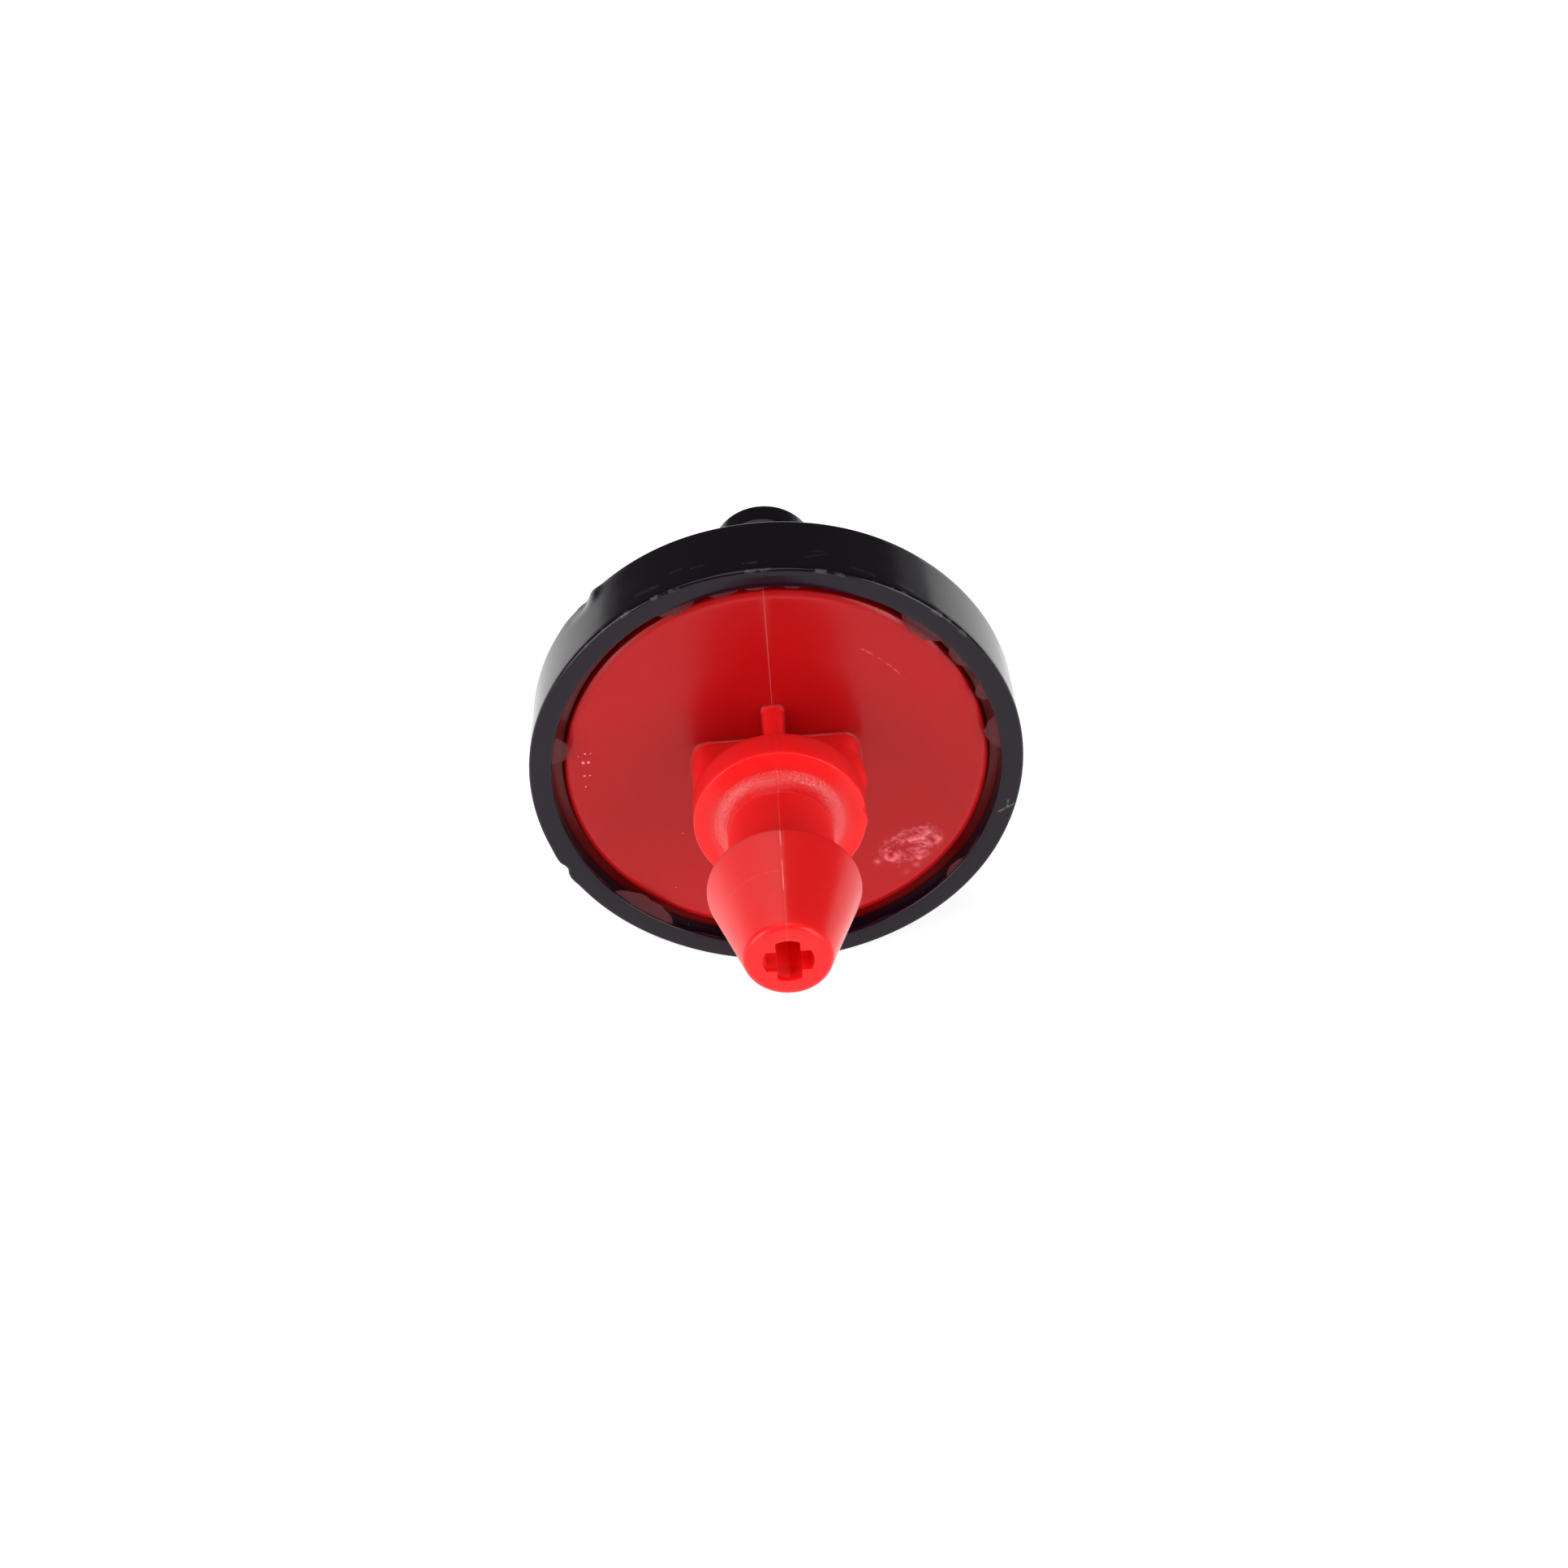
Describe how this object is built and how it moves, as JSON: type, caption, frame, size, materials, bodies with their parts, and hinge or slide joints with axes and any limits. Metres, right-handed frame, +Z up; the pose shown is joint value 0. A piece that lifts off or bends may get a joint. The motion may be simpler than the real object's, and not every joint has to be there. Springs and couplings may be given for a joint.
{
  "type": "drip emitter",
  "caption": "Round button drip emitter: barbed inlet with a cross slot, sealed disc body with a pressure-regulating diaphragm, and an outlet nipple behind.",
  "frame": {"origin": "where the flow axis crosses the front of the collar, the face that seats on the outside of the pipe", "axes": "+Y along the flow, from the barb's tip to the outlet nipple; +Z up, along the upright rib behind the collar; +X to the right seen from the barb's side, along one of the two wings"},
  "size_m": [0.018, 0.0254, 0.018],
  "materials": {
    "red_moulding": "satin red polypropylene with a fine mould grain",
    "black_moulding": "glossy black polypropylene, slightly scuffed",
    "silicone": "matt dark silicone rubber"
  },
  "bodies": {
    "housing": {"inlet_base": "red_moulding", "outlet_cap": "black_moulding"},
    "membrane": {"diaphragm": "silicone"}
  },
  "joints": [
    {"name": "diaphragm_lift", "type": "slide", "parent": "housing", "child": "membrane", "axis": [0, 1, 0], "range_m": [0, 0.0003], "stiffness_N_per_m": 60}
  ]
}
